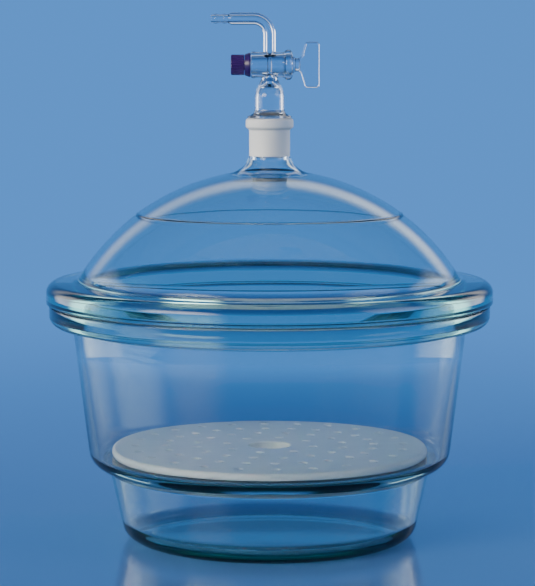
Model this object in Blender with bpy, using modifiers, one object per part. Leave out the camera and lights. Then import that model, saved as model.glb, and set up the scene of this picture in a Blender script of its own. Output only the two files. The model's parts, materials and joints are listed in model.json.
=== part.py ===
"""Glass vacuum desiccator, as separate pieces at real size. Units are metres and +Z is up.

The origin is on the vessel's axis, on the surface that it stands on. The stopcock's barrel lies
along X, with the key's handle at +X and the hose arm's nozzle at -X.
"""

from math import cos, pi, radians, sin, sqrt

import bmesh
import bpy
from mathutils import Vector

GAP = 0.0003  # between neighbouring pieces that touch

# Lower vessel
BASE_FLANGE_RADIUS = 0.1595
BASE_FLANGE_BOTTOM = 0.1568
BASE_FLANGE_INNER = 0.1365
BASE_TOP = 0.1710
FLANGE_ROUND = 0.0080
FOOT_FLAT_RADIUS = 0.0955
FOOT_ROUND = 0.0125
FOOT_TOP = (0.1152, 0.0442)
SHOULDER_ROUND = 0.0150
SHOULDER_CENTRE = (0.1168, 0.0672)
WALL_TOP_RADIUS = 0.1423
WALL = 0.0055
FLOOR_TOP = 0.0075
FLOOR_ROUND = 0.0100
LEDGE_TOP = 0.0607
LEDGE_INNER = 0.1090
LEDGE_OUTER = 0.1205

# Grease film between the ground flanges
FILM_THICKNESS = 0.0005
FILM_INNER = 0.1375
FILM_OUTER = 0.1590

# Lid
LID_BOTTOM = BASE_TOP + FILM_THICKNESS + 2 * GAP
LID_FLANGE_RADIUS = 0.1615
LID_FLANGE_TOP = 0.1872
LID_FLANGE_INNER = 0.1332
DOME_FOOT = (0.1385, 0.1896)
DOME_RADIUS = 0.1616
DOME_CENTRE_Z = 0.1060
NECK_DOME_RADIUS = 0.0285  # where the neck's flare meets the dome outside
NECK_OPENING_RADIUS = 0.0268  # where its bore opens into the dome inside
SOCKET_RADIUS = 0.0147
SOCKET_BOTTOM = 0.2775
SOCKET_TOP = 0.3046
SOCKET_RIM_RADIUS = 0.0172
SOCKET_RIM_HEIGHT = 0.0068

# Ground joint, 24 mm wide at the top, 29 mm long, with a taper of 1 in 10
JOINT_RADIUS = 0.0120
JOINT_LENGTH = 0.0290
JOINT_SLOPE = 0.05

# Perforated plate
PLATE_RADIUS = 0.1150
PLATE_THICKNESS = 0.0060
PLATE_BOTTOM = LEDGE_TOP + GAP
PLATE_CENTRE_HOLE = 0.0150
PLATE_HOLE = 0.0026
PLATE_RINGS = ((0.032, 8), (0.054, 16), (0.076, 24), (0.098, 24))
PLATE_FIRST_HOLE = radians(-12.5)  # every ring has a hole in this direction

# Stopcock
TUBE_RADIUS = 0.0108
TUBE_BORE = 0.0086
TUBE_SHOULDER_Z = 0.3205
NECK_RADIUS = 0.0054
NECK_Z = 0.3335
NECK_END_Z = 0.3362  # inside the barrel's glass
JOINT_FLARE_RADIUS = 0.0162
GAS_BORE = 0.0018
BARREL_Z = 0.3427
BARREL_RADIUS = 0.0090
BARREL_LEFT = -0.0133
BARREL_RIGHT = 0.0166
LEFT_RIM_RADIUS = 0.0097
BEAD_ROUND = 0.0033
BEAD_RADIUS = 0.0109
PLUG_RADIUS = 0.0066  # of the barrel's bore at its right-hand end
PLUG_SLOPE = 0.05
ARM_RADIUS = 0.0044
ARM_BORE = 0.0020
ARM_START_Z = 0.3495  # inside the barrel's glass
ARM_Z = 0.3756
ARM_BEND = 0.0115
ARM_END = -0.0275
NOZZLE_END = -0.0420
NOZZLE_RADIUS = 0.0031
NOZZLE_RIDGE = 0.0037
NOZZLE_RIDGES = (-0.0325, -0.0385)  # their places along X

# Key and its fastening
KEY_TAIL_RADIUS = 0.0037
KEY_TAIL_END = -0.0265
KEY_NECK_RADIUS = 0.0048
HANDLE_LEFT = 0.0205
HANDLE_RIGHT = 0.0357
HANDLE_HALF_HEIGHT = 0.0165
HANDLE_THICKNESS = 0.0065
HANDLE_ROUND = 0.0020
WASHER_THICKNESS = 0.0010
O_RING_ROUND = 0.0009
COLLAR_RADIUS = 0.0087
COLLAR_LENGTH = 0.0043
COLLAR_WALL = 0.0014
NUT_RADIUS = 0.0075
NUT_LENGTH = 0.0096
NUT_RIBS = 24
RIB_DEPTH = 0.0006
RIB_RADIUS = 0.0008

FULL_STEPS = 48  # sides of a large turned piece
SMALL_STEPS = 24  # sides of a small one

for leftover in list(bpy.data.objects):
    bpy.data.objects.remove(leftover)


def collection(name):
    made = bpy.data.collections.new(name)
    bpy.context.scene.collection.children.link(made)
    return made


parts = collection("desiccator")
cutters = collection("cutters")


def material(name, colour, roughness, transmission=0.0):
    made = bpy.data.materials.new(name)
    made.use_nodes = True
    shader = made.node_tree.nodes["Principled BSDF"]
    shader.inputs["Base Color"].default_value = (*colour, 1)
    shader.inputs["Roughness"].default_value = roughness
    shader.inputs["Transmission Weight"].default_value = transmission
    return made


BOWL_GLASS = material("bowl_glass", (0.66, 0.84, 0.88), 0.02, 1.0)
LID_GLASS = material("lid_glass", (0.70, 0.86, 0.90), 0.02, 1.0)
CLEAR_GLASS = material("clear_glass", (0.88, 0.92, 0.93), 0.02, 1.0)
KEY_GLASS = material("key_glass", (0.84, 0.90, 0.95), 0.04, 1.0)
GREASE = material("grease", (0.45, 0.55, 0.55), 0.25)
PORCELAIN = material("porcelain", (0.80, 0.79, 0.80), 0.30)
PTFE = material("ptfe", (0.88, 0.88, 0.86), 0.45)
RUBBER = material("rubber", (0.03, 0.03, 0.03), 0.60)
COLLAR_PLASTIC = material("collar_plastic", (0.07, 0.03, 0.24), 0.30)
NUT_PLASTIC = material("nut_plastic", (0.04, 0.01, 0.14), 0.35)


def add_object(name, data, look, place=(0, 0, 0)):
    """A part with a look, or a cutter without one."""
    made = bpy.data.objects.new(name, data)
    made.location = place
    (parts if look else cutters).objects.link(made)
    if look:
        data.materials.append(look)
    else:
        made.hide_render = True
        made.display_type = "WIRE"
    return made


def arc(centre, radius, first, last, steps):
    """Points of a round stretch, with its angles in degrees from the outward direction."""
    turns = [radians(first + (last - first) * i / steps) for i in range(steps + 1)]
    return [(centre[0] + radius * cos(a), centre[1] + radius * sin(a)) for a in turns]


def bezier(start, start_handle, end_handle, end, steps):
    corners = [Vector(point) for point in (start, start_handle, end_handle, end)]
    points = []
    for i in range(steps + 1):
        t = i / steps
        weights = ((1 - t) ** 3, 3 * t * (1 - t) ** 2, 3 * t * t * (1 - t), t**3)
        points.append(tuple(sum((w * c for w, c in zip(weights, corners)), Vector((0, 0)))))
    return points


def dome(radius, first, last, steps):
    """Points of the spherical dome between two distances from the axis."""
    distances = [first + (last - first) * i / steps for i in range(steps + 1)]
    return [(d, DOME_CENTRE_Z + sqrt(radius**2 - d**2)) for d in distances]


def turned(name, outline, look=None, place=(0, 0, 0), along_x=False, steps=SMALL_STEPS):
    """Turns an outline of (distance, height) points, which runs down its outer side.

    The outline closes on itself unless it starts and ends on the axis. With along_x the heights
    run along +X. The heights are measured from the place.
    """
    mesh = bpy.data.meshes.new(name)
    count = len(outline)
    edges = [(i, i + 1) for i in range(count - 1)]
    if outline[0][0] > 0:
        edges.append((count - 1, 0))
    mesh.from_pydata([(distance, 0, height) for distance, height in outline], edges, [])
    made = add_object(name, mesh, look, place)
    if along_x:
        made.rotation_euler = (0, pi / 2, 0)
    screw = made.modifiers.new("turn", "SCREW")
    screw.steps = steps
    screw.render_steps = steps
    screw.use_merge_vertices = True
    screw.merge_threshold = 0.00001
    screw.use_smooth_shade = True
    return made


def boolean(piece, other, operation="DIFFERENCE"):
    change = piece.modifiers.new(other.name, "BOOLEAN")
    change.operation = operation
    change.object = other


def to_mesh(curve_object):
    """Replaces a curve with its mesh, with the caps welded to the sides."""
    graph = bpy.context.evaluated_depsgraph_get()
    mesh = bpy.data.meshes.new_from_object(curve_object.evaluated_get(graph))
    welded = bmesh.new()
    welded.from_mesh(mesh)
    bmesh.ops.remove_doubles(welded, verts=welded.verts, dist=0.00001)
    bmesh.ops.recalc_face_normals(welded, faces=welded.faces)
    welded.to_mesh(mesh)
    welded.free()
    made = add_object(curve_object.name + "_mesh", mesh, None, curve_object.location)
    bpy.data.objects.remove(curve_object)
    return made


def tube(name, points, radius):
    curve = bpy.data.curves.new(name, "CURVE")
    curve.dimensions = "3D"
    curve.bevel_depth = radius
    curve.bevel_resolution = 3
    curve.use_fill_caps = True
    spline = curve.splines.new("POLY")
    spline.points.add(len(points) - 1)
    for point, where in zip(spline.points, points):
        point.co = (*where, 1)
    return to_mesh(add_object(name, curve, None))


def make_base_bowl():
    floor = arc((FOOT_FLAT_RADIUS - 0.003, FLOOR_TOP + FLOOR_ROUND), FLOOR_ROUND, -90, -5, 4)
    ledge = [
        (LEDGE_INNER - 0.0015, LEDGE_TOP - 0.006),
        (LEDGE_INNER, LEDGE_TOP - 0.001),
        (LEDGE_INNER + 0.001, LEDGE_TOP),
        (LEDGE_OUTER, LEDGE_TOP),
        (LEDGE_OUTER + 0.0045, LEDGE_TOP + 0.0025),
        (SHOULDER_CENTRE[0] + SHOULDER_ROUND - WALL, LEDGE_TOP + 0.0085),
    ]
    rim = [
        (WALL_TOP_RADIUS - WALL - 0.0012, BASE_FLANGE_BOTTOM - 0.014),
        (BASE_FLANGE_INNER, BASE_TOP - 0.001),
        (BASE_FLANGE_INNER + 0.001, BASE_TOP),
        (BASE_FLANGE_RADIUS - 0.001, BASE_TOP),
        (BASE_FLANGE_RADIUS, BASE_TOP - 0.001),
    ]
    corner = (BASE_FLANGE_RADIUS - FLANGE_ROUND, BASE_FLANGE_BOTTOM + FLANGE_ROUND)
    flange = arc(corner, FLANGE_ROUND, 0, -90, 4)
    neck = [
        (WALL_TOP_RADIUS + 0.0025, BASE_FLANGE_BOTTOM),
        (WALL_TOP_RADIUS, BASE_FLANGE_BOTTOM - 0.003),
    ]
    shoulder = arc(SHOULDER_CENTRE, SHOULDER_ROUND, 0, -66, 5)
    foot = [(FOOT_TOP[0] + 0.0022, FOOT_TOP[1] + 0.0038), FOOT_TOP]
    foot += arc((FOOT_FLAT_RADIUS, FOOT_ROUND), FOOT_ROUND, 0, -90, 4)
    outline = [(0, FLOOR_TOP), *floor, *ledge, *rim, *flange, *neck, *shoulder, *foot, (0, 0)]
    turned("base_bowl", outline, BOWL_GLASS, steps=FULL_STEPS)


def make_seal_film():
    outline = [
        (FILM_INNER, FILM_THICKNESS),
        (FILM_OUTER, FILM_THICKNESS),
        (FILM_OUTER, 0),
        (FILM_INNER, 0),
    ]
    turned("flange_seal_film", outline, GREASE, (0, 0, BASE_TOP + GAP), steps=FULL_STEPS)


def make_perforated_plate():
    half = PLATE_THICKNESS / 2
    edge = arc((PLATE_RADIUS - half, half), half, 75, -75, 4)
    outline = [(PLATE_CENTRE_HOLE, 2 * half), (PLATE_RADIUS - half, 2 * half), *edge]
    outline += [(PLATE_RADIUS - half, 0), (PLATE_CENTRE_HOLE, 0)]
    plate = turned(
        "perforated_plate", outline, PORCELAIN, (0, 0, PLATE_BOTTOM), steps=FULL_STEPS
    )
    mesh = bpy.data.meshes.new("plate_holes")
    holes = bmesh.new()
    for distance, count in PLATE_RINGS:
        for i in range(count):
            angle = PLATE_FIRST_HOLE + 2 * pi * i / count
            made = bmesh.ops.create_cone(
                holes,
                cap_ends=True,
                segments=6,
                radius1=PLATE_HOLE,
                radius2=PLATE_HOLE,
                depth=4 * half,
            )
            place = Vector((distance * cos(angle), distance * sin(angle), half))
            bmesh.ops.translate(holes, verts=made["verts"], vec=place)
    holes.to_mesh(mesh)
    holes.free()
    boolean(plate, add_object("plate_holes", mesh, None, plate.location))


def make_lid_dome():
    inner_radius = DOME_RADIUS - WALL
    joint_bottom = (JOINT_RADIUS - JOINT_SLOPE * JOINT_LENGTH, SOCKET_TOP - JOINT_LENGTH)
    dome_start = DOME_CENTRE_Z + sqrt(inner_radius**2 - NECK_OPENING_RADIUS**2)
    inside_neck = bezier(
        (NECK_OPENING_RADIUS, dome_start),
        (NECK_OPENING_RADIUS - 0.006, dome_start + 0.003),
        (joint_bottom[0] + 0.0008, joint_bottom[1] - 0.006),
        joint_bottom,
        4,
    )
    inside = [
        (LID_FLANGE_INNER + 0.001, LID_BOTTOM),
        (LID_FLANGE_INNER, LID_BOTTOM + 0.001),
        *dome(inner_radius, DOME_FOOT[0] - WALL - 0.001, NECK_OPENING_RADIUS, 8)[:-1],
        *inside_neck,
    ]
    rim_bottom = SOCKET_TOP - SOCKET_RIM_HEIGHT
    socket = [
        (JOINT_RADIUS, SOCKET_TOP),
        (SOCKET_RIM_RADIUS - 0.0015, SOCKET_TOP),
        (SOCKET_RIM_RADIUS, SOCKET_TOP - 0.0015),
        (SOCKET_RIM_RADIUS, rim_bottom + 0.002),
        (SOCKET_RADIUS, rim_bottom),
    ]
    neck_foot = DOME_CENTRE_Z + sqrt(DOME_RADIUS**2 - NECK_DOME_RADIUS**2)
    neck = bezier(
        (SOCKET_RADIUS, SOCKET_BOTTOM),
        (SOCKET_RADIUS + 0.0015, SOCKET_BOTTOM - 0.0050),
        (NECK_DOME_RADIUS - 0.008, neck_foot + 0.0017),
        (NECK_DOME_RADIUS, neck_foot),
        5,
    )
    outside = dome(DOME_RADIUS, NECK_DOME_RADIUS, DOME_FOOT[0] - 0.002, 9)[1:]
    corner = (LID_FLANGE_RADIUS - FLANGE_ROUND, LID_FLANGE_TOP - FLANGE_ROUND)
    flange = [
        (DOME_FOOT[0] + 0.002, DOME_FOOT[1] - 0.001),
        (DOME_FOOT[0] + 0.0095, LID_FLANGE_TOP + 0.0004),
        *arc(corner, FLANGE_ROUND, 90, 0, 4),
        (LID_FLANGE_RADIUS, LID_BOTTOM + 0.001),
        (LID_FLANGE_RADIUS - 0.001, LID_BOTTOM),
    ]
    outline = [*inside, *socket, *neck, *outside, *flange]
    outline = [(distance, height - LID_BOTTOM) for distance, height in outline]
    turned("lid_dome", outline, LID_GLASS, (0, 0, LID_BOTTOM), steps=FULL_STEPS)


def arm_route(start, end):
    """The hose arm's centre line: up from the barrel, round its bend and out to the nozzle."""
    centre = (-ARM_BEND, ARM_Z - ARM_BEND)
    bend = [(x, 0, z) for x, z in arc(centre, ARM_BEND, 0, 90, 8)]
    return [(0, 0, start), *bend, (end, 0, ARM_Z)]


def make_stopcock_head():
    joint_top = SOCKET_TOP + 0.0004
    cone_bottom = SOCKET_TOP - JOINT_LENGTH
    body = [
        (0, NECK_END_Z),
        (NECK_RADIUS, NECK_END_Z),
        *bezier(
            (NECK_RADIUS, NECK_Z),
            (NECK_RADIUS + 0.0018, NECK_Z - 0.004),
            (TUBE_RADIUS - 0.001, TUBE_SHOULDER_Z + 0.005),
            (TUBE_RADIUS, TUBE_SHOULDER_Z),
            5,
        ),
        *bezier(
            (TUBE_RADIUS, joint_top + 0.0062),
            (TUBE_RADIUS, joint_top + 0.0025),
            (JOINT_FLARE_RADIUS - 0.003, joint_top + 0.0022),
            (JOINT_FLARE_RADIUS, joint_top + 0.0008),
            3,
        ),
        (JOINT_FLARE_RADIUS, joint_top),
        (JOINT_RADIUS - GAP, joint_top),
        (JOINT_RADIUS - GAP - JOINT_SLOPE * JOINT_LENGTH, cone_bottom),
        (0, cone_bottom),
    ]
    body = [(distance, height - SOCKET_TOP) for distance, height in body]
    head = turned("stopcock_head", body, CLEAR_GLASS, (0, 0, SOCKET_TOP))

    bead_centre = (BEAD_RADIUS - BEAD_ROUND, BARREL_RIGHT - BEAD_ROUND)
    barrel = [
        (0, BARREL_RIGHT),
        *arc(bead_centre, BEAD_ROUND, 90, -60, 6),
        (BARREL_RADIUS, bead_centre[1] - BEAD_ROUND - 0.0002),
        (BARREL_RADIUS, BARREL_LEFT + 0.0042),
        (LEFT_RIM_RADIUS, BARREL_LEFT + 0.0012),
        (LEFT_RIM_RADIUS - 0.0006, BARREL_LEFT),
        (0, BARREL_LEFT),
    ]
    axis = (0, 0, BARREL_Z)
    boolean(head, turned("barrel", barrel, None, axis, along_x=True), "UNION")
    boolean(head, tube("arm", arm_route(ARM_START_Z, ARM_END - 0.001), ARM_RADIUS), "UNION")

    nozzle = [(0, ARM_END + 0.002), (ARM_RADIUS - 0.0005, ARM_END + 0.002)]
    nozzle.append((NOZZLE_RADIUS, ARM_END - 0.0020))
    for ridge in NOZZLE_RIDGES:
        nozzle += [
            (NOZZLE_RADIUS, ridge + 0.0016),
            (NOZZLE_RIDGE, ridge),
            (NOZZLE_RADIUS, ridge - 0.0010),
        ]
    nozzle += [(NOZZLE_RADIUS, NOZZLE_END), (0, NOZZLE_END)]
    boolean(head, turned("nozzle", nozzle, None, (0, 0, ARM_Z), along_x=True), "UNION")

    hollow = [
        (0, BARREL_Z),
        (GAS_BORE, BARREL_Z),
        (GAS_BORE, TUBE_SHOULDER_Z + 0.0085),
        (TUBE_BORE - 0.0025, TUBE_SHOULDER_Z + 0.0055),
        (TUBE_BORE, TUBE_SHOULDER_Z + 0.0010),
        (TUBE_BORE, cone_bottom - 0.005),
        (0, cone_bottom - 0.005),
    ]
    boolean(head, turned("hollow", hollow))
    overhang = 0.002
    bore = [
        (0, BARREL_RIGHT + overhang),
        (PLUG_RADIUS + PLUG_SLOPE * overhang, BARREL_RIGHT + overhang),
        (PLUG_RADIUS - PLUG_SLOPE * (BARREL_RIGHT - BARREL_LEFT), BARREL_LEFT - overhang),
        (0, BARREL_LEFT - overhang),
    ]
    boolean(head, turned("barrel_bore", bore, None, axis, along_x=True))
    boolean(head, tube("arm_bore", arm_route(BARREL_Z + 0.001, NOZZLE_END - overhang), ARM_BORE))


def make_handle():
    """The paddle: a neck that spreads into a flat plate, drawn as half an outline and mirrored."""
    neck = KEY_NECK_RADIUS - 0.0008
    half = [
        (HANDLE_LEFT - 0.002, neck),
        (HANDLE_LEFT + 0.0010, neck + 0.0006),
        (HANDLE_LEFT + 0.0022, neck + 0.0028),
        (HANDLE_LEFT + 0.0048, HANDLE_HALF_HEIGHT - 0.0014),
        (HANDLE_LEFT + 0.0062, HANDLE_HALF_HEIGHT),
        (HANDLE_RIGHT - 0.0014, HANDLE_HALF_HEIGHT),
        (HANDLE_RIGHT, HANDLE_HALF_HEIGHT - 0.0014),
    ]
    curve = bpy.data.curves.new("handle", "CURVE")
    curve.dimensions = "2D"
    curve.fill_mode = "BOTH"
    curve.extrude = HANDLE_THICKNESS / 2 - HANDLE_ROUND
    curve.bevel_depth = HANDLE_ROUND
    curve.bevel_resolution = 1
    curve.offset = -HANDLE_ROUND
    outline = half + [(x, -z) for x, z in reversed(half)]
    spline = curve.splines.new("POLY")
    spline.points.add(len(outline) - 1)
    for point, (x, z) in zip(spline.points, outline):
        point.co = (x, z, 0, 1)
    spline.use_cyclic_u = True
    made = to_mesh(add_object("handle", curve, None))
    made.location = (0, 0, BARREL_Z)
    made.rotation_euler = (pi / 2, 0, 0)
    return made


def make_stopcock_key():
    large = PLUG_RADIUS - GAP
    small = large - PLUG_SLOPE * (BARREL_RIGHT - BARREL_LEFT)
    outline = [
        (0, HANDLE_LEFT),
        (KEY_NECK_RADIUS, HANDLE_LEFT),
        (KEY_NECK_RADIUS, BARREL_RIGHT + 0.0012),
        (large, BARREL_RIGHT + 0.0004),
        (small, BARREL_LEFT + 0.0006),
        (KEY_TAIL_RADIUS, BARREL_LEFT + 0.0002),
        (KEY_TAIL_RADIUS, KEY_TAIL_END + 0.0005),
        (KEY_TAIL_RADIUS - 0.0005, KEY_TAIL_END),
        (0, KEY_TAIL_END),
    ]
    axis = (0, 0, BARREL_Z)
    key = turned("stopcock_key", outline, KEY_GLASS, axis, along_x=True)
    boolean(key, make_handle(), "UNION")
    bore = [(0, 0.01), (GAS_BORE, 0.01), (GAS_BORE, -0.01), (0, -0.01)]
    boolean(key, turned("key_bore", bore, None, axis, steps=16))


def ring(name, look, inner, outer, right, left):
    """A plain ring round the key, between two places along X."""
    outline = [(inner, right), (outer, right), (outer, left), (inner, left)]
    return turned(name, outline, look, (0, 0, BARREL_Z), along_x=True)


def make_key_fastening():
    clear = KEY_TAIL_RADIUS + GAP
    cup_radius = COLLAR_RADIUS - COLLAR_WALL
    washer_right = BARREL_LEFT - GAP
    washer_left = washer_right - WASHER_THICKNESS
    ring("key_washer", PTFE, clear, cup_radius - GAP, washer_right, washer_left)

    o_ring_centre = (clear + O_RING_ROUND, washer_left - GAP - O_RING_ROUND)
    o_ring = arc(o_ring_centre, O_RING_ROUND, 90, -225, 7)
    turned("key_o_ring", o_ring, RUBBER, (0, 0, BARREL_Z), along_x=True)

    collar_left = washer_right - COLLAR_LENGTH
    cup_floor = o_ring_centre[1] - O_RING_ROUND - GAP
    collar = [
        (cup_radius, washer_right),
        (COLLAR_RADIUS, washer_right),
        (COLLAR_RADIUS, washer_right - 0.001),
        (COLLAR_RADIUS - 0.0006, collar_left),
        (clear, collar_left),
        (clear, cup_floor),
        (cup_radius, cup_floor),
    ]
    turned("nut_collar", collar, COLLAR_PLASTIC, (0, 0, BARREL_Z), along_x=True)

    nut_right = collar_left - GAP
    nut_left = nut_right - NUT_LENGTH
    core = NUT_RADIUS - RIB_DEPTH
    nut = ring("retaining_nut", NUT_PLASTIC, clear, core, nut_right, nut_left)
    mesh = bpy.data.meshes.new("ribs")
    ribs = bmesh.new()
    for i in range(NUT_RIBS):
        made = bmesh.ops.create_cone(
            ribs,
            cap_ends=True,
            segments=6,
            radius1=RIB_RADIUS,
            radius2=RIB_RADIUS,
            depth=NUT_LENGTH - 0.0012,
        )
        angle = 2 * pi * (i + 0.5) / NUT_RIBS
        centre = NUT_RADIUS - RIB_RADIUS
        place = Vector((centre * cos(angle), centre * sin(angle), (nut_right + nut_left) / 2))
        bmesh.ops.translate(ribs, verts=made["verts"], vec=place)
    ribs.to_mesh(mesh)
    ribs.free()
    rib_set = add_object("ribs", mesh, None, (0, 0, BARREL_Z))
    rib_set.rotation_euler = (0, pi / 2, 0)
    boolean(nut, rib_set, "UNION")


make_base_bowl()
make_seal_film()
make_perforated_plate()
make_lid_dome()
make_stopcock_head()
make_stopcock_key()
make_key_fastening()
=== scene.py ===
"""Looks of the glass desiccator: finished meshes, materials, floor, light and camera.

Everything is in metres, in the frame of the CAD model. Each piece stands for one CAD node, takes
its outer sizes from that node's box, and rides on that node's body.
"""

import json
from math import atan2, cos, exp, pi, radians, sin, sqrt, tan

import bmesh
import bpy
from mathutils import Matrix, Vector


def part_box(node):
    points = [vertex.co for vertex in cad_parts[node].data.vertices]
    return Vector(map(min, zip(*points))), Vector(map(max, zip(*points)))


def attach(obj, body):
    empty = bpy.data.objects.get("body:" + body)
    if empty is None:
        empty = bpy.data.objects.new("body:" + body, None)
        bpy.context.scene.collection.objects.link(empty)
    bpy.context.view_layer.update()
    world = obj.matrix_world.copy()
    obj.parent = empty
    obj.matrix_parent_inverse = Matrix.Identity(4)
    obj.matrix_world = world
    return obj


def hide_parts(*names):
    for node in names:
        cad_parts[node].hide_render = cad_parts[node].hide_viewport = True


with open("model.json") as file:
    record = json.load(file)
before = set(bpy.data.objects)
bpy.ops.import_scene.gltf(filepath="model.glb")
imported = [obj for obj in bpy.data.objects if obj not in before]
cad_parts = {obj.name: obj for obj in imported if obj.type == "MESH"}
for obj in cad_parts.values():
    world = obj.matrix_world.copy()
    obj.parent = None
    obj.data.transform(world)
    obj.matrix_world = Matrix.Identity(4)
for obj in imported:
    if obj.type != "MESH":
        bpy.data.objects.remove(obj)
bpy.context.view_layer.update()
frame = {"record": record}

# ---------------------------------------------------------------- sizes read from the CAD nodes

BOWL_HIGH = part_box("base_bowl")[1]
FILM_LOW, FILM_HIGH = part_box("flange_seal_film")
PLATE_LOW, PLATE_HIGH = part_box("perforated_plate")
LID_LOW, LID_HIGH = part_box("lid_dome")
HEAD_LOW, HEAD_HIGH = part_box("stopcock_head")
KEY_LOW, KEY_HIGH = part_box("stopcock_key")
WASHER_LOW, WASHER_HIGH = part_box("key_washer")
O_RING_LOW, O_RING_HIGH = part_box("key_o_ring")
COLLAR_LOW, COLLAR_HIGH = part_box("nut_collar")
NUT_LOW, NUT_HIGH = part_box("retaining_nut")

# ---------------------------------------------------------------- sizes that the boxes don't hold

GAP = 0.0003  # between neighbouring pieces that touch

# Vessel
FLOOR_TOP = 0.0075
FLOOR_RADIUS = 0.1022
FLOOR_ROUND = 0.0100
LEDGE_TOP = 0.0607
LEDGE_INNER = 0.1085
LEDGE_OUTER = 0.1252
INNER_WALL_BEND = (0.1352, 0.1377)  # where the wall's inside turns more upright
FLANGE_INNER = 0.1367
FLANGE_BOTTOM = 0.1568
FLANGE_ROUND = 0.0080  # the lid's flange has it too
GROUND_EDGE = 0.0012  # round of the edges beside a ground face
WALL_TOP_RADIUS = 0.1427
SHOULDER = (0.1305, 0.0569)
SHOULDER_ROUND = 0.0150
FOOT_TOP = (0.1166, 0.0507)
FOOT_RADIUS = 0.1052
FOOT_ROUND = 0.0125
FOOT_RING_INNER = 0.0850
FOOT_HOLLOW = 0.0008

# Grease film
FILM_INNER = 0.1375
FILM_OUTER = 0.1590

# Lid
DOME_WALL = 0.0055
DOME_RADIUS = 0.1616
DOME_CENTRE_Z = 0.1060
DOME_INNER_FOOT = 0.1312
DOME_OUTER_FOOT = 0.1365
LID_FLANGE_INNER = 0.1335
LID_INNER_CORNER = (0.1328, 0.1868)  # where the dome's inside meets the flange
LID_OUTER_CORNER = (0.1396, 0.1883)  # where its outside does
LID_FLANGE_TOP = 0.1872
MOULD_LINE_RADIUS = 0.0958
MOULD_LINE_WIDTH = 0.0006
MOULD_LINE_HEIGHT = 0.00040
MOULD_STEP = 0.00028  # by which the dome is smaller below the line
MOULD_STEP_WIDTH = 0.0003
NECK_DOME_RADIUS = 0.0285  # where the neck's flare meets the dome outside
NECK_OPENING_RADIUS = 0.0268  # where its bore opens into the dome inside
SOCKET_RADIUS = 0.0147
SOCKET_BOTTOM = 0.2775
SOCKET_RIM_RADIUS = 0.0172
SOCKET_RIM_HEIGHT = 0.0068
SOCKET_RIM_ROUND = 0.0022

# Ground joint
JOINT_RADIUS = 0.0120
JOINT_LENGTH = 0.0290
JOINT_SLOPE = 0.05

# Perforated plate
PLATE_EDGE_ROUND = 0.0026
PLATE_CENTRE_HOLE = 0.0150
PLATE_HOLE = 0.0026
PLATE_RINGS = ((0.032, 8), (0.054, 16), (0.076, 24), (0.098, 24))
PLATE_FIRST_HOLE = radians(-12.5)  # every ring has a hole in this direction

# Stopcock head
TUBE_RADIUS = 0.0108
TUBE_BORE = 0.0086
TUBE_SHOULDER_Z = 0.3205
NECK_RADIUS = 0.0054
NECK_Z = 0.3335
NECK_END_Z = 0.3362  # inside the barrel's glass
JOINT_FLARE_RADIUS = 0.0162
GAS_BORE = 0.0018
BARREL_Z = 0.3427
BARREL_RADIUS = 0.0090
BARREL_LEFT = -0.0133
BARREL_RIGHT = 0.0166
LEFT_RIM_RADIUS = 0.0097
BEAD_ROUND = 0.0033
BEAD_RADIUS = 0.0109
ARM_RADIUS = 0.0044
ARM_BORE = 0.0020
ARM_BEND = 0.0115
ARM_START_Z = 0.3495  # inside the barrel's glass
ARM_END = -0.0275
NOZZLE_RADIUS = 0.0031
NOZZLE_RIDGE = 0.0037
NOZZLE_RIDGES = (-0.0325, -0.0385)

# Stopcock key
PLUG_RADIUS = 0.0066
PLUG_SLOPE = 0.05
KEY_NECK_RADIUS = 0.0048
KEY_TAIL_RADIUS = 0.0037
THREAD_PITCH = 0.0020
THREAD_DEPTH = 0.00035
HANDLE_LEFT = 0.0205
HANDLE_THICKNESS = 0.0065
HANDLE_ROUND = 0.0023
HANDLE_CORNER = 0.0022

# Collar and nut
CLEAR_OF_TAIL = KEY_TAIL_RADIUS + GAP
COLLAR_RIM = 0.0014
NUT_RIBS = 24
GROOVE_DEPTH = 0.00132

# Fineness of the meshes
LARGE_SIDES = 192
SMALL_SIDES = 96
BORE_SIDES = 64
HEAD_VOXEL = 0.00032
KEY_VOXEL = 0.00028
ON_AXIS = 1e-7  # a point nearer to the axis than this lies on it

ONTO_BARREL = Matrix.Translation((0, 0, BARREL_Z)) @ Matrix.Rotation(pi / 2, 4, "Y")


# ---------------------------------------------------------------- outlines


def arc(centre, radius, first, last, steps):
    """Points of a round stretch, with its angles in degrees from the outward direction."""
    turns = [radians(first + (last - first) * i / steps) for i in range(steps + 1)]
    return [(centre[0] + radius * cos(a), centre[1] + radius * sin(a)) for a in turns]


def bezier(start, start_handle, end_handle, end, steps):
    corners = [Vector(point) for point in (start, start_handle, end_handle, end)]
    points = []
    for i in range(steps + 1):
        t = i / steps
        weights = ((1 - t) ** 3, 3 * t * (1 - t) ** 2, 3 * t * t * (1 - t), t**3)
        points.append(tuple(sum((w * c for w, c in zip(weights, corners)), Vector((0, 0)))))
    return points


def rounded(corners, closed=False, steps=8):
    """Rounds the corners of an outline. A corner is (distance, height) or also its radius."""
    points = []
    count = len(corners)
    for i, corner in enumerate(corners):
        here = Vector(corner[:2])
        inner = closed or 0 < i < count - 1
        if len(corner) < 3 or not inner:
            points.append(tuple(here))
            continue
        before = Vector(corners[i - 1][:2]) - here
        after = Vector(corners[(i + 1) % count][:2]) - here
        half = before.angle(after) / 2
        reach = corner[2] / tan(half)
        reach = min(reach, 0.49 * before.length, 0.49 * after.length)
        radius = reach * tan(half)
        first = here + before.normalized() * reach
        last = here + after.normalized() * reach
        middle = here + (before.normalized() + after.normalized()).normalized() * radius / sin(half)
        start = atan2(first.y - middle.y, first.x - middle.x)
        sweep = atan2(last.y - middle.y, last.x - middle.x) - start
        sweep = (sweep + pi) % (2 * pi) - pi
        for k in range(steps + 1):
            angle = start + sweep * k / steps
            points.append((middle.x + radius * cos(angle), middle.y + radius * sin(angle)))
    return points


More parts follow.
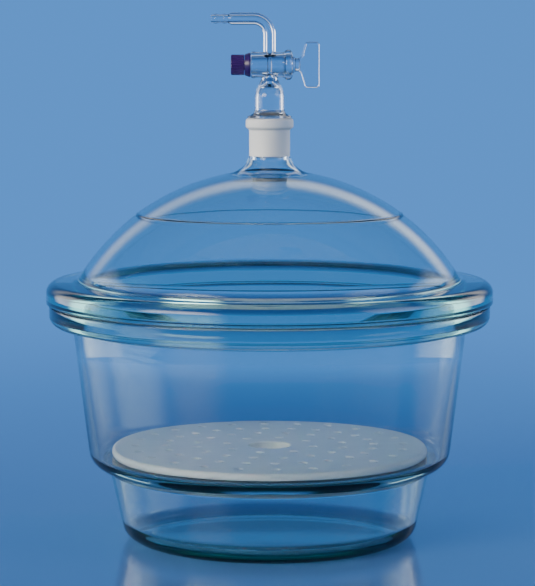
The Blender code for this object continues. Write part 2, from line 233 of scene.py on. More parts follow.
def dome(radius, first, last, steps):
    """Points of the spherical dome between two distances from the axis."""
    distances = [first + (last - first) * i / steps for i in range(steps + 1)]
    return [(d, DOME_CENTRE_Z + sqrt(radius**2 - d**2)) for d in distances]


# ---------------------------------------------------------------- mesh building


def add_object(name, mesh):
    made = bpy.data.objects.new(name, mesh)
    bpy.context.scene.collection.objects.link(made)
    return made


def add_sides(shape, rings):
    """Faces between neighbouring rings. A ring can be one point, given again for each corner."""
    for upper, lower in zip(rings, rings[1:]):
        for i in range(len(upper)):
            following = (i + 1) % len(upper)
            corners = [upper[i], lower[i], lower[following], upper[following]]
            unique = list(dict.fromkeys(corners))
            if len(unique) > 2:
                shape.faces.new(unique)


def outward_mesh(name, shape):
    """The finished shape as a mesh whose faces look outwards."""
    bmesh.ops.recalc_face_normals(shape, faces=shape.faces)
    mesh = bpy.data.meshes.new(name)
    shape.to_mesh(mesh)
    shape.free()
    return mesh


def capped_mesh(name, shape, rings):
    """A closed mesh over a row of rings, with a flat face over the first and the last."""
    add_sides(shape, rings)
    shape.faces.new(rings[0])
    shape.faces.new(rings[-1])
    return outward_mesh(name, shape)


def turned_mesh(name, outline, sides, to_x=False):
    """A closed mesh turned from an outline, which closes on itself unless it ends on the axis.

    It is turned about Z, and laid along the stopcock's barrel if to_x is true.
    """
    shape = bmesh.new()
    turns = [2 * pi * i / sides for i in range(sides)]
    rings = []
    for distance, height in outline:
        if distance < ON_AXIS:
            rings.append([shape.verts.new((0, 0, height))] * sides)
        else:
            corners = [(distance * cos(turn), distance * sin(turn), height) for turn in turns]
            rings.append([shape.verts.new(corner) for corner in corners])
    if outline[0][0] > ON_AXIS:
        rings.append(rings[0])
    add_sides(shape, rings)
    mesh = outward_mesh(name, shape)
    if to_x:
        mesh.transform(ONTO_BARREL)
    return mesh


def shade(piece, angle=30):
    piece.data.shade_smooth()
    piece.data.set_sharp_from_angle(angle=radians(angle))
    return piece


def turned(name, outline, sides=LARGE_SIDES, to_x=False):
    return shade(add_object(name, turned_mesh(name, outline, sides, to_x)))


def swept_mesh(name, route, radius, sides=32):
    """A round bar along a route in the XZ plane, closed at both ends."""
    shape = bmesh.new()
    route = [Vector(point) for point in route]
    across = Vector((0, 1, 0))
    rings = []
    for i, point in enumerate(route):
        ahead = route[min(i + 1, len(route) - 1)] - route[max(i - 1, 0)]
        other = ahead.normalized().cross(across)
        ring = []
        for k in range(sides):
            turn = 2 * pi * k / sides
            ring.append(shape.verts.new(point + radius * (cos(turn) * across + sin(turn) * other)))
        rings.append(ring)
    return capped_mesh(name, shape, rings)


def joined(name, meshes):
    """One object that holds the meshes as they are, overlapping."""
    shape = bmesh.new()
    for mesh in meshes:
        shape.from_mesh(mesh)
        bpy.data.meshes.remove(mesh)
    whole = bpy.data.meshes.new(name)
    shape.to_mesh(whole)
    shape.free()
    return add_object(name, whole)


def apply_modifiers(piece):
    graph = bpy.context.evaluated_depsgraph_get()
    mesh = bpy.data.meshes.new_from_object(piece.evaluated_get(graph))
    piece.modifiers.clear()
    piece.data = mesh


def fused(piece, voxel, softening):
    """Melts overlapping bodies into one with soft joints, as worked glass has."""
    remesh = piece.modifiers.new("melt", "REMESH")
    remesh.mode = "VOXEL"
    remesh.voxel_size = voxel
    remesh.use_smooth_shade = True
    soften = piece.modifiers.new("soften", "SMOOTH")
    soften.factor = 0.5
    soften.iterations = softening
    apply_modifiers(piece)
    return piece


def cut(piece, meshes):
    """Takes closed meshes away from the piece, one after another."""
    tools = []
    for mesh in meshes:
        tool = add_object(mesh.name, mesh)
        change = piece.modifiers.new(mesh.name, "BOOLEAN")
        change.operation = "DIFFERENCE"
        change.solver = "MANIFOLD"
        change.object = tool
        tools.append(tool)
    apply_modifiers(piece)
    for tool in tools:
        mesh = tool.data
        bpy.data.objects.remove(tool)
        bpy.data.meshes.remove(mesh)
    return piece


# ---------------------------------------------------------------- materials

BACKDROP = (0.085, 0.310, 0.850)
ROOM_TOP = (0.055, 0.13, 0.30)
FLOOR_COLOUR = (0.115, 0.27, 0.56)
CLEAR = (1.0, 1.0, 1.0)
FROSTED = (0.66, 0.65, 0.62)
TEAL = (0.12, 0.67, 0.63)
FROST_EDGE = 0.0003  # half the height over which clear glass turns frosted


class Nodes:
    """Short ways to add nodes to one tree."""

    def __init__(self, tree):
        self.tree = tree

    def fill(self, socket, value):
        """Links an output to the socket, or sets a plain value on it."""
        if isinstance(value, bpy.types.NodeSocket):
            self.tree.links.new(value, socket)
        else:
            socket.default_value = value

    def add(self, kind, **inputs):
        node = self.tree.nodes.new(kind)
        for key, value in inputs.items():
            self.fill(node.inputs[key.replace("_", " ")], value)
        return node

    def math(self, operation, *values):
        """The result of one math node: a vector for MULTIPLY_ADD, and a number for the others."""
        on_vectors = operation in ("DOT_PRODUCT", "LENGTH", "MULTIPLY_ADD")
        made = self.tree.nodes.new("ShaderNodeVectorMath" if on_vectors else "ShaderNodeMath")
        made.operation = operation
        for socket, value in zip(made.inputs, values):
            self.fill(socket, value)
        return made.outputs["Vector" if operation == "MULTIPLY_ADD" else "Value"]

    def between(self, factor, low, high, steps=(0.0, 1.0), kind="LINEAR"):
        """Maps a factor from the range of steps onto low to high."""
        made = self.add("ShaderNodeMapRange", Value=factor)
        made.interpolation_type = kind
        made.inputs["From Min"].default_value = steps[0]
        made.inputs["From Max"].default_value = steps[1]
        made.inputs["To Min"].default_value = low
        made.inputs["To Max"].default_value = high
        return made.outputs["Result"]


class Surface(Nodes):
    """The nodes of one material."""

    def __init__(self, name):
        self.material = bpy.data.materials.new(name)
        self.material.use_nodes = True
        super().__init__(self.material.node_tree)
        self.shader = self.tree.nodes["Principled BSDF"]
        self.output = self.tree.nodes["Material Output"]

    def link(self, output, name):
        self.tree.links.new(output, self.shader.inputs[name])

    def place(self):
        return self.add("ShaderNodeTexCoord").outputs["Object"]

    def noise(self, scale, detail=3.0, roughness=0.5):
        made = self.add("ShaderNodeTexNoise", Vector=self.place(), Scale=scale, Detail=detail)
        made.inputs["Roughness"].default_value = roughness
        return made.outputs["Fac"]

    def mixed(self, factor, first, second):
        made = self.tree.nodes.new("ShaderNodeMix")
        made.data_type = "RGBA"
        self.tree.links.new(factor, made.inputs["Factor"])
        made.inputs["A"].default_value = (*first, 1)
        made.inputs["B"].default_value = (*second, 1)
        return made.outputs["Result"]

    def bump(self, height, strength, distance):
        made = self.add("ShaderNodeBump", Height=height, Strength=strength, Distance=distance)
        self.link(made.outputs["Normal"], "Normal")

    def set(self, **values):
        for key, value in values.items():
            self.shader.inputs[key.replace("_", " ")].default_value = value


def glass(name, tint, density, wave=0.15, frosted_above=None):
    """Clear glass whose colour deepens with its thickness, frosted above a height if one is given."""
    nodes = Surface(name)
    nodes.set(Base_Color=(*CLEAR, 1), IOR=1.48, Transmission_Weight=1.0)
    nodes.bump(nodes.noise(16.0, 2.0), wave, 0.0006)
    smear = nodes.between(nodes.noise(45.0, 4.0), 0.0, 0.035, (0.45, 0.75))
    if frosted_above is None:
        nodes.link(smear, "Roughness")
    else:
        height = nodes.add("ShaderNodeSeparateXYZ", Vector=nodes.place()).outputs["Z"]
        edge = (frosted_above - FROST_EDGE, frosted_above + FROST_EDGE)
        frost = nodes.between(height, 0.0, 0.55, edge)
        nodes.link(nodes.math("MAXIMUM", smear, frost), "Roughness")
        nodes.link(nodes.mixed(nodes.between(height, 0.0, 1.0, edge), CLEAR, FROSTED), "Base Color")
        nodes.link(nodes.between(height, 1.0, 0.12, edge), "Transmission Weight")
    absorb = nodes.add("ShaderNodeVolumeAbsorption", Color=(*tint, 1), Density=density)
    nodes.tree.links.new(absorb.outputs["Volume"], nodes.output.inputs["Volume"])
    return nodes.material


def porcelain():
    nodes = Surface("porcelain")
    glaze = nodes.mixed(nodes.noise(30.0, 5.0), (0.72, 0.69, 0.72), (0.64, 0.61, 0.65))
    nodes.link(glaze, "Base Color")
    nodes.link(nodes.between(nodes.noise(60.0, 3.0), 0.30, 0.46), "Roughness")
    nodes.bump(nodes.noise(90.0, 4.0), 0.12, 0.0004)
    nodes.set(Coat_Weight=0.35, Coat_Roughness=0.18, Subsurface_Weight=0.05)
    return nodes.material


def plastic(name, dark, light, rough):
    nodes = Surface(name)
    nodes.link(nodes.mixed(nodes.noise(220.0, 4.0), dark, light), "Base Color")
    nodes.link(nodes.between(nodes.noise(400.0, 3.0), rough - 0.06, rough + 0.08), "Roughness")
    nodes.bump(nodes.noise(900.0, 2.0), 0.08, 0.0001)
    return nodes.material


def grease():
    nodes = Surface("grease")
    nodes.set(IOR=1.44, Transmission_Weight=0.85)
    smeared = nodes.mixed(nodes.noise(70.0, 5.0), (0.50, 0.66, 0.68), (0.62, 0.76, 0.76))
    nodes.link(smeared, "Base Color")
    nodes.link(nodes.between(nodes.noise(120.0, 4.0), 0.10, 0.32), "Roughness")
    nodes.bump(nodes.noise(300.0, 3.0), 0.25, 0.0002)
    return nodes.material


def floor_material():
    """A blue sheet that fades into the backdrop away from the object.

    Only the camera sees its gloss in full, because it would show in the glass as bright patches.
    """
    nodes = Surface("floor")
    darker = [0.97 * part for part in FLOOR_COLOUR]
    nodes.link(nodes.mixed(nodes.noise(1.5, 3.0), FLOOR_COLOUR, darker), "Base Color")
    nodes.link(nodes.between(nodes.noise(6.0, 3.0), 0.10, 0.16), "Roughness")
    seen = nodes.add("ShaderNodeLightPath").outputs["Is Camera Ray"]
    nodes.link(nodes.between(seen, 0.06, 0.5), "Specular IOR Level")
    distance = nodes.math("LENGTH", nodes.place())
    far = nodes.between(distance, 0.0, 1.0, (0.25, 1.6), "SMOOTHSTEP")
    glow = nodes.add("ShaderNodeEmission", Color=(*BACKDROP, 1))
    blend = nodes.add("ShaderNodeMixShader", Fac=far)
    nodes.tree.links.new(nodes.shader.outputs["BSDF"], blend.inputs[1])
    nodes.tree.links.new(glow.outputs["Emission"], blend.inputs[2])
    nodes.tree.links.new(blend.outputs["Shader"], nodes.output.inputs["Surface"])
    return nodes.material

MATERIALS = {
    "base_bowl": glass("bowl_glass", TEAL, 26.0),
    "lid_dome": glass("lid_glass", TEAL, 26.0, frosted_above=SOCKET_BOTTOM),
    "stopcock_head": glass("clear_glass", (0.40, 0.62, 0.80), 8.0, wave=0.10),
    "stopcock_key": glass("key_glass", (0.35, 0.60, 0.85), 12.0, wave=0.10),
    "flange_seal_film": grease(),
    "perforated_plate": porcelain(),
    "key_washer": plastic("ptfe", (0.80, 0.80, 0.78), (0.88, 0.88, 0.86), 0.45),
    "key_o_ring": plastic("rubber", (0.020, 0.020, 0.022), (0.040, 0.040, 0.042), 0.60),
    "nut_collar": plastic("collar_plastic", (0.022, 0.004, 0.070), (0.034, 0.008, 0.105), 0.30),
    "retaining_nut": plastic("nut_plastic", (0.030, 0.004, 0.075), (0.050, 0.010, 0.120), 0.30),
}
BODIES = frame["record"]["behaviour"]["bodies"]
BODY_OF = {node: body for body, nodes in BODIES.items() for node in nodes}


def stand_for(piece, node):
    """Gives a finished piece its look and puts it in the place of its CAD node."""
    piece.data.materials.clear()
    piece.data.materials.append(MATERIALS[node])
    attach(piece, BODY_OF[node])
    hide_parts(node)
    return piece


# ---------------------------------------------------------------- vessel, plate and lid


def make_base_bowl():
    top = BOWL_HIGH.z
    outer = BOWL_HIGH.x
    corners = [
        (0, FLOOR_TOP),
        (FLOOR_RADIUS, FLOOR_TOP, FLOOR_ROUND),
        (LEDGE_INNER, LEDGE_TOP, 0.0020),
        (LEDGE_OUTER, LEDGE_TOP, 0.0050),
        (*INNER_WALL_BEND, 0.2),
        (FLANGE_INNER, top, GROUND_EDGE),
        (outer, top, GROUND_EDGE),
        (outer, FLANGE_BOTTOM, FLANGE_ROUND),
        (WALL_TOP_RADIUS, FLANGE_BOTTOM, 0.0035),
        (*SHOULDER, SHOULDER_ROUND),
        (*FOOT_TOP, 0.0040),
        (FOOT_RADIUS, 0, FOOT_ROUND),
        (FOOT_RING_INNER, 0, 0.0030),
        (FOOT_RING_INNER - 0.0015, FOOT_HOLLOW, 0.0020),
        (0, FOOT_HOLLOW),
    ]
    stand_for(turned("base_bowl_glass", rounded(corners, steps=12)), "base_bowl")


def make_seal_film():
    low, high = FILM_LOW.z, FILM_HIGH.z
    corners = [
        (FILM_INNER, high, 0.0002),
        (FILM_OUTER, high, 0.0002),
        (FILM_OUTER, low, 0.0002),
        (FILM_INNER, low, 0.0002),
    ]
    stand_for(turned("grease_film", rounded(corners, closed=True, steps=4)), "flange_seal_film")


def plate_holes(low, high):
    """The small holes' closed cutters, each widened at the top as glaze leaves it."""
    outline = [
        (0, high + 0.002),
        (PLATE_HOLE + 0.0022, high + 0.0015),
        (PLATE_HOLE + 0.0007, high),
        (PLATE_HOLE + 0.0004, high - 0.0010),
        (PLATE_HOLE, high - 0.0030),
        (PLATE_HOLE, low - 0.002),
        (0, low - 0.002),
    ]
    cutters = bmesh.new()
    for distance, count in PLATE_RINGS:
        for i in range(count):
            turn = PLATE_FIRST_HOLE + 2 * pi * i / count
            hole = turned_mesh("hole", outline, 20)
            hole.transform(Matrix.Translation((distance * cos(turn), distance * sin(turn), 0)))
            cutters.from_mesh(hole)
            bpy.data.meshes.remove(hole)
    mesh = bpy.data.meshes.new("holes")
    cutters.to_mesh(mesh)
    cutters.free()
    return mesh


def make_perforated_plate():
    low, high = PLATE_LOW.z, PLATE_HIGH.z
    outer = PLATE_HIGH.x
    corners = [
        (PLATE_CENTRE_HOLE, high, 0.0012),
        (outer, high, PLATE_EDGE_ROUND),
        (outer, low, PLATE_EDGE_ROUND),
        (PLATE_CENTRE_HOLE, low, 0.0008),
    ]
    blank = turned_mesh("plate", rounded(corners, closed=True, steps=8), LARGE_SIDES)
    plate = cut(add_object("porcelain_plate", blank), [plate_holes(low, high)])
    stand_for(shade(plate, 40), "perforated_plate")


def dome_outside():
    """The dome's outer line from the neck down to the flange, with the mould's line across it."""
    above, below = MOULD_LINE_RADIUS - 0.0025, MOULD_LINE_RADIUS + 0.0025
    plain = [
        *dome(DOME_RADIUS, NECK_DOME_RADIUS, above, 60)[1:],
        *dome(DOME_RADIUS, above, below, 30)[1:],
        *dome(DOME_RADIUS, below, DOME_OUTER_FOOT, 30)[1:],
    ]
    points = []
    for distance, height in plain:
        past = distance - MOULD_LINE_RADIUS
        line = MOULD_LINE_HEIGHT * exp(-((past / MOULD_LINE_WIDTH) ** 2))
        step = MOULD_STEP / (1 + exp(-past / MOULD_STEP_WIDTH))
        scale = 1 + (line - step) / DOME_RADIUS
        points.append((distance * scale, DOME_CENTRE_Z + (height - DOME_CENTRE_Z) * scale))
    return points


def make_lid_dome():
    low, top = LID_LOW.z, LID_HIGH.z
    outer = LID_HIGH.x
    inner_radius = DOME_RADIUS - DOME_WALL
    joint_bottom = (JOINT_RADIUS - JOINT_SLOPE * JOINT_LENGTH, top - JOINT_LENGTH)
    opening_z = DOME_CENTRE_Z + sqrt(inner_radius**2 - NECK_OPENING_RADIUS**2)
    inside_neck = bezier(
        (NECK_OPENING_RADIUS, opening_z),
        (NECK_OPENING_RADIUS - 0.0042, opening_z + 0.0030),
        (joint_bottom[0] + 0.0012, joint_bottom[1] - 0.0050),
        joint_bottom,
        16,
    )
    inside = [
        (LID_FLANGE_INNER, low, GROUND_EDGE),
        (*LID_INNER_CORNER, 0.0050),
        *dome(inner_radius, DOME_INNER_FOOT, NECK_OPENING_RADIUS, 40)[:-1],
        *inside_neck[:-1],
    ]
    rim_bottom = top - SOCKET_RIM_HEIGHT
    socket = [
        (JOINT_RADIUS, top, 0.0010),
        (SOCKET_RIM_RADIUS, top, SOCKET_RIM_ROUND),
        (SOCKET_RIM_RADIUS, rim_bottom, SOCKET_RIM_ROUND),
        (SOCKET_RADIUS, rim_bottom - 0.0012, 0.0020),
    ]
    neck_foot = DOME_CENTRE_Z + sqrt(DOME_RADIUS**2 - NECK_DOME_RADIUS**2)
    neck = bezier(
        (SOCKET_RADIUS, SOCKET_BOTTOM),
        (SOCKET_RADIUS + 0.0015, SOCKET_BOTTOM - 0.0050),
        (NECK_DOME_RADIUS - 0.008, neck_foot + 0.0017),
        (NECK_DOME_RADIUS, neck_foot),
        20,
    )
    flange = [
        (*LID_OUTER_CORNER, 0.0060),
        (outer, LID_FLANGE_TOP, FLANGE_ROUND),
        (outer, low, GROUND_EDGE),
    ]
    outline = [*inside, *socket, *neck, *dome_outside(), *flange]
    stand_for(turned("lid_glass", rounded(outline, closed=True, steps=12)), "lid_dome")


# ---------------------------------------------------------------- stopcock


def arm_route(start, end, height):
    """The hose arm's centre line: up from the barrel, round its bend and out to the nozzle."""
    bend = arc((-ARM_BEND, height - ARM_BEND), ARM_BEND, 0, 90, 24)
    return [(0, 0, start), *[(x, 0, z) for x, z in bend], (end, 0, height)]


def head_body(top, bottom):
    """The outline of the ground cone and the tube over it, up into the barrel's glass."""
    shoulder = bezier(
        (NECK_RADIUS, NECK_Z),
        (NECK_RADIUS + 0.0018, NECK_Z - 0.004),
        (TUBE_RADIUS - 0.001, TUBE_SHOULDER_Z + 0.005),
        (TUBE_RADIUS, TUBE_SHOULDER_Z),
        16,
    )
    flare = bezier(
        (TUBE_RADIUS, top + 0.0062),
        (TUBE_RADIUS, top + 0.0025),
        (JOINT_FLARE_RADIUS - 0.003, top + 0.0022),
        (JOINT_FLARE_RADIUS, top + 0.0008),
        12,
    )
    return rounded([
        (0, NECK_END_Z),
        (NECK_RADIUS, NECK_END_Z),
        *shoulder,
        *flare,
        (JOINT_FLARE_RADIUS, top, 0.0003),
        (JOINT_RADIUS - GAP, top),
        (JOINT_RADIUS - GAP - JOINT_SLOPE * JOINT_LENGTH, bottom, 0.0008),
        (0, bottom),
    ])


def head_barrel():
    """The barrel's outline, with a bead at its right-hand end and a rim at its left."""
    bead = (BEAD_RADIUS - BEAD_ROUND, BARREL_RIGHT - BEAD_ROUND)
    return [
        (0, BARREL_RIGHT),
        *arc(bead, BEAD_ROUND, 90, -60, 20),
        *rounded([
            (BARREL_RADIUS, bead[1] - BEAD_ROUND - 0.0002),
            (BARREL_RADIUS, BARREL_LEFT + 0.0042, 0.003),
            (LEFT_RIM_RADIUS, BARREL_LEFT + 0.0016, 0.0012),
            (LEFT_RIM_RADIUS - 0.0004, BARREL_LEFT, 0.0008),
            (0, BARREL_LEFT),
        ]),
    ]


def head_nozzle():
    """The outline of the arm's ridged end, which a hose is pushed over."""
    corners = [
        (0, ARM_END + 0.004),
        (ARM_RADIUS, ARM_END + 0.004),
        (ARM_RADIUS, ARM_END, 0.002),
        (NOZZLE_RADIUS, ARM_END - 0.0022, 0.002),
    ]
    for ridge in NOZZLE_RIDGES:
        corners += [
            (NOZZLE_RADIUS, ridge + 0.0018, 0.001),
            (NOZZLE_RIDGE, ridge, 0.0006),
            (NOZZLE_RADIUS, ridge - 0.0012, 0.001),
        ]
    corners += [(NOZZLE_RADIUS, HEAD_LOW.x, 0.0004), (0, HEAD_LOW.x)]
    return rounded(corners)


def make_stopcock_head():
    arm_z = HEAD_HIGH.z - ARM_RADIUS
    bottom = HEAD_LOW.z
    nozzle = turned_mesh("nozzle", head_nozzle(), 48, to_x=True)
    nozzle.transform(Matrix.Translation((0, 0, arm_z - BARREL_Z)))
    solid = joined("stopcock_glass", [
        turned_mesh("body", head_body(LID_HIGH.z + 0.0004, bottom), SMALL_SIDES),
        turned_mesh("barrel", head_barrel(), SMALL_SIDES, to_x=True),
        swept_mesh("arm", arm_route(ARM_START_Z, ARM_END, arm_z), ARM_RADIUS),
        nozzle,
    ])
    overhang = 0.002  # of a cutter over the open end that it makes
    hollow = rounded([
        (0, BARREL_Z),
        (GAS_BORE, BARREL_Z),
        (GAS_BORE, TUBE_SHOULDER_Z + 0.0085, 0.002),
        (TUBE_BORE - 0.0025, TUBE_SHOULDER_Z + 0.0055, 0.003),
        (TUBE_BORE, TUBE_SHOULDER_Z + 0.0010, 0.004),
        (TUBE_BORE, bottom - 0.003),
        (0, bottom - 0.003),
    ])
    bore = [
        (0, BARREL_RIGHT + overhang),
        (PLUG_RADIUS + PLUG_SLOPE * overhang, BARREL_RIGHT + overhang),
        (PLUG_RADIUS - PLUG_SLOPE * (BARREL_RIGHT - BARREL_LEFT), BARREL_LEFT - overhang),
        (0, BARREL_LEFT - overhang),
    ]
    arm_bore = arm_route(BARREL_Z + 0.001, HEAD_LOW.x - overhang, arm_z)
    head = cut(fused(solid, HEAD_VOXEL, 10), [
        turned_mesh("hollow", hollow, BORE_SIDES),
        turned_mesh("bore", bore, BORE_SIDES, to_x=True),
        swept_mesh("arm_bore", arm_bore, ARM_BORE, 24),
    ])
    stand_for(shade(head, 50), "stopcock_head")


def handle_mesh():
    """The paddle: a neck that spreads into a flat plate whose edges are rounded by fire."""
    half_height = (KEY_HIGH.z - KEY_LOW.z) / 2
    right = KEY_HIGH.x
    neck = KEY_NECK_RADIUS - 0.0008
    edge = rounded([
        (HANDLE_LEFT - 0.002, 0),
        (HANDLE_LEFT - 0.002, neck),
        (HANDLE_LEFT + 0.0018, neck + 0.0010, 0.004),
        (HANDLE_LEFT + 0.0052, half_height, HANDLE_CORNER),
        (right, half_height, HANDLE_CORNER),
        (right, 0),
    ])
    outline = [Vector(point) for point in edge + [(x, -z) for x, z in reversed(edge[1:-1])]]
    inward = []
    for i in range(len(outline)):
        along = (outline[(i + 1) % len(outline)] - outline[i - 1]).normalized()
        inward.append(Vector((along.y, -along.x)))
    shape = bmesh.new()
    rings = []
    for degrees in range(0, 181, 15):
        turn = radians(degrees)
        side = 1 if degrees < 90 else -1
        depth = HANDLE_ROUND * (1 - sin(turn))
        y = (HANDLE_THICKNESS / 2 - HANDLE_ROUND) * side + HANDLE_ROUND * cos(turn)
        ring = []
        for point, into in zip(outline, inward):
            place = (point.x + depth * into.x, y, BARREL_Z + point.y + depth * into.y)
            ring.append(shape.verts.new(place))
        rings.append(ring)
    return capped_mesh("handle", shape, rings)


def threaded_outline(right, left, radius, steps=8):
    """A tail with rounded thread ridges, from its right-hand end to its left."""
    points = []
    count = int((right - left) / THREAD_PITCH * steps)
    for i in range(count + 1):
        groove = THREAD_DEPTH * (1 - cos(2 * pi * i / steps)) / 2
        points.append((radius - groove, right - i * THREAD_PITCH / steps))
    return points


def make_stopcock_key():
    large = PLUG_RADIUS - GAP
    small = large - PLUG_SLOPE * (BARREL_RIGHT - BARREL_LEFT)
    outline = [
        *rounded([
            (0, HANDLE_LEFT + 0.001),
            (KEY_NECK_RADIUS, HANDLE_LEFT + 0.001, 0.001),
            (KEY_NECK_RADIUS, BARREL_RIGHT + 0.0016, 0.001),
            (large, BARREL_RIGHT + 0.0004, 0.0006),
            (small, BARREL_LEFT + 0.0006, 0.0004),
            (KEY_TAIL_RADIUS, BARREL_LEFT + 0.0002),
        ]),
        *threaded_outline(BARREL_LEFT - 0.003, KEY_LOW.x + 0.001, KEY_TAIL_RADIUS),
        (KEY_TAIL_RADIUS - 0.0007, KEY_LOW.x),
        (0, KEY_LOW.x),
    ]
    solid = joined("key_glass", [turned_mesh("plug", outline, 72, to_x=True), handle_mesh()])
    reach = 0.01  # past the plug on both sides
    bore = turned_mesh("key_bore", [(0, reach), (GAS_BORE, reach), (GAS_BORE, -reach), (0, -reach)], 32)
    bore.transform(Matrix.Translation((0, 0, BARREL_Z)))
    key = cut(fused(solid, KEY_VOXEL, 8), [bore])
    stand_for(shade(key, 50), "stopcock_key")


def make_ring(name, node, low, high, edge):
    """A plain ring round the key's tail, with rounded edges."""
    outer = high.z - BARREL_Z
    corners = [
        (CLEAR_OF_TAIL, high.x, edge),
        (outer, high.x, edge),
        (outer, low.x, edge),
        (CLEAR_OF_TAIL, low.x, edge),
    ]
    outline = rounded(corners, closed=True, steps=5)
    stand_for(turned(name, outline, SMALL_SIDES, to_x=True), node)


def make_nut_collar():
    """A smooth cup, which holds the O-ring against the washer."""
    right, left = COLLAR_HIGH.x, COLLAR_LOW.x
    outer = COLLAR_HIGH.z - BARREL_Z
    cup = outer - COLLAR_RIM
    cup_floor = O_RING_LOW.x - GAP
    outline = rounded([
        (cup, right, 0.0003),
        (outer, right, 0.0005),
        (outer, right - 0.001, 0.0010),
        (NUT_HIGH.z - BARREL_Z + 0.0002, left, 0.0002),
        (CLEAR_OF_TAIL, left, 0.0003),
        (CLEAR_OF_TAIL, cup_floor, 0.0002),
        (cup, cup_floor, 0.0003),
    ], closed=True, steps=5)
    stand_for(turned("collar_ring", outline, SMALL_SIDES, to_x=True), "nut_collar")


def make_retaining_nut():
    """A nut whose outside waves into ribs, with smooth ends."""
    right, left = NUT_HIGH.x, NUT_LOW.x
    outer = NUT_HIGH.z - BARREL_Z
    outline = rounded([
        (CLEAR_OF_TAIL, right, 0.0004),
        (outer, right, 0.0003),
        (outer, left, 0.0010),
        (CLEAR_OF_TAIL + 0.0016, left, 0.0005),
        (CLEAR_OF_TAIL + 0.0012, left + 0.0010, 0.0003),
        (CLEAR_OF_TAIL, left + 0.0010, 0.0003),
    ], closed=True, steps=5)
    mesh = turned_mesh("nut", outline, NUT_RIBS * 16)
    for vertex in mesh.vertices:
        distance = sqrt(vertex.co.x**2 + vertex.co.y**2)
        if distance < outer - 0.0010:
            continue
        groove = (1 - cos(NUT_RIBS * atan2(vertex.co.y, vertex.co.x))) / 2
        near_end = min(right - vertex.co.z, vertex.co.z - left)
        fade = min(1.0, max(0.0, (near_end - 0.0002) / 0.0010))
        scale = 1 - GROOVE_DEPTH * groove * groove * fade / distance
        vertex.co.x *= scale
        vertex.co.y *= scale
    mesh.transform(ONTO_BARREL)
    stand_for(shade(add_object("ribbed_nut", mesh), 40), "retaining_nut")


# ---------------------------------------------------------------- floor, light and camera

FLOOR_DISC_RADIUS = 1.8
LENS = 140.6
CAMERA_PLACE = (-0.0015, -1.65, 0.3600)
CAMERA_DIP = 6.294  # degrees


def make_floor():
    disc = [(0, 0), (FLOOR_DISC_RADIUS, 0), (FLOOR_DISC_RADIUS, -0.01), (0, -0.01)]
    floor = add_object("floor", turned_mesh("floor", disc, 96))
    floor.location.z = -0.0002
    floor.data.materials.append(floor_material())


def direction(azimuth, elevation):
    """A unit vector. Azimuth 0 is behind the object, and it grows towards its left-hand side."""
    turn, lift = radians(azimuth), radians(elevation)
    return (-sin(turn) * cos(lift), cos(turn) * cos(lift), sin(lift))


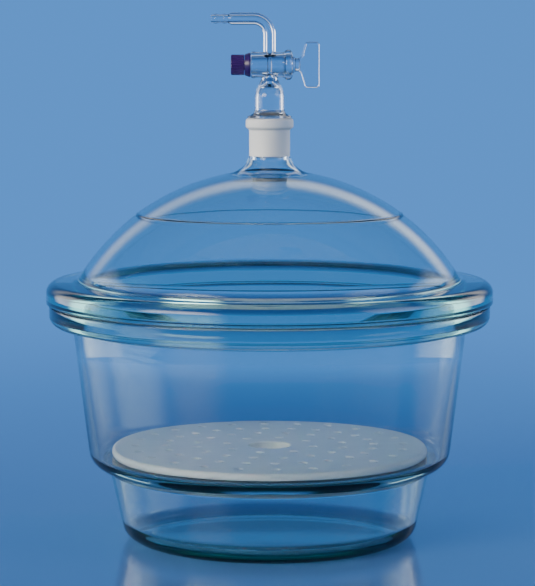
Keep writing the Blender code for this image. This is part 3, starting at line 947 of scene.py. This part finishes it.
def make_light():
    """A blue room, with soft warm panels that light the object and show in its reflections."""
    world = bpy.data.worlds.new("studio")
    world.use_nodes = True
    nodes = Nodes(world.node_tree)
    place = nodes.add("ShaderNodeTexCoord").outputs["Generated"]
    behind = nodes.math("DOT_PRODUCT", place, (0, 1, 0))
    height = nodes.math("DOT_PRODUCT", place, (0, 0, 1))
    path = nodes.add("ShaderNodeLightPath").outputs

    # The camera doesn't see the panels directly, nor through more than three surfaces of glass.
    # Deeper in the glass, mirrored rays see two dim panels of their own.
    deep = nodes.math("GREATER_THAN", path["Transmission Depth"], 3.5)
    deep = nodes.math("MULTIPLY", deep, nodes.math("LESS_THAN", path["Diffuse Depth"], 0.5))
    shown = nodes.math("SUBTRACT", 1.0, nodes.math("MAXIMUM", deep, path["Is Camera Ray"]))

    # The room is darker on the camera's side, in reflections only.
    ramp = nodes.add("ShaderNodeValToRGB", Fac=height)
    low, high = ramp.color_ramp.elements
    low.position, high.position = 0.10, 0.80
    low.color, high.color = (*BACKDROP, 1), (*ROOM_TOP, 1)
    mirrored = nodes.math("GREATER_THAN", path["Glossy Depth"], 0.5)
    front = nodes.between(behind, 0.75, 0.0, (-0.8, 0.2), "SMOOTHSTEP")
    lit = nodes.math("SUBTRACT", 1.0, nodes.math("MULTIPLY", mirrored, front))
    room = nodes.math("MULTIPLY_ADD", lit, ramp.outputs["Color"], (0, 0, 0))

    # A panel is its direction, the angles of its soft edge, its colour and the rays that see it.
    above_floor = nodes.between(height, 0.0, 1.0, (0.02, 0.10), "SMOOTHSTEP")
    raised = nodes.math("MULTIPLY", shown, above_floor)
    on_matt = nodes.math("MULTIPLY", raised, nodes.between(path["Diffuse Depth"], 0.26, 1.0))
    inside = nodes.math("MULTIPLY", deep, mirrored)
    panels = (
        (direction(133, 10), 25, 8, (42.0, 38.5, 31.5), on_matt),
        (direction(-112, 20), 22, 10, (2.4, 2.3, 2.1), raised),
        (direction(62, 4), 27, 14, (3.2, 3.0, 2.6), shown),
        (direction(-62, 4), 27, 14, (3.2, 3.0, 2.6), shown),
        (direction(-80, 9), 30, 6, (1.9, 1.8, 1.7), inside),
        (direction(32, 9), 12, 4, (1.6, 1.5, 1.4), inside),
    )
    for aim, outer, inner, colour, rays in panels:
        facing = nodes.math("DOT_PRODUCT", place, aim)
        edge = (cos(radians(outer)), cos(radians(inner)))
        glow = nodes.between(facing, 0.0, 1.0, edge, "SMOOTHSTEP")
        room = nodes.math("MULTIPLY_ADD", nodes.math("MULTIPLY", glow, rays), colour, room)

    # An arch of light round the backdrop gives the glass its pale edges, more on the right.
    rising = nodes.between(behind, 0.0, 1.0, (cos(radians(44)), cos(radians(36))), "SMOOTHSTEP")
    falling = nodes.between(behind, 1.0, 0.0, (cos(radians(34)), cos(radians(24))), "SMOOTHSTEP")
    upper = nodes.between(height, 0.0, 1.0, (0.02, 0.35), "SMOOTHSTEP")
    right = nodes.math("DOT_PRODUCT", place, (1, 0, 0))
    side = nodes.between(right, 0.55, 1.0, (-0.3, 0.3))
    arch = nodes.math("MULTIPLY", nodes.math("MULTIPLY", rising, falling), side)
    arch = nodes.math("MULTIPLY", arch, nodes.math("MULTIPLY", upper, shown))
    room = nodes.math("MULTIPLY_ADD", arch, (1.5, 1.38, 1.15), room)
    nodes.tree.links.new(room, nodes.tree.nodes["Background"].inputs["Color"])
    bpy.context.scene.world = world


def make_camera():
    """A long lens a little above the lid, which looks slightly down."""
    data = bpy.data.cameras.new("camera")
    data.sensor_width = 36
    data.lens = LENS
    camera = bpy.data.objects.new("camera", data)
    camera.location = CAMERA_PLACE
    camera.rotation_euler = (radians(90 - CAMERA_DIP), 0, 0)
    bpy.context.scene.collection.objects.link(camera)
    bpy.context.scene.camera = camera


make_base_bowl()
make_seal_film()
make_perforated_plate()
make_lid_dome()
make_stopcock_head()
make_stopcock_key()
make_ring("washer", "key_washer", WASHER_LOW, WASHER_HIGH, 0.0002)
make_ring("o_ring", "key_o_ring", O_RING_LOW, O_RING_HIGH, 0.0008)
make_nut_collar()
make_retaining_nut()
make_floor()
make_light()
make_camera()
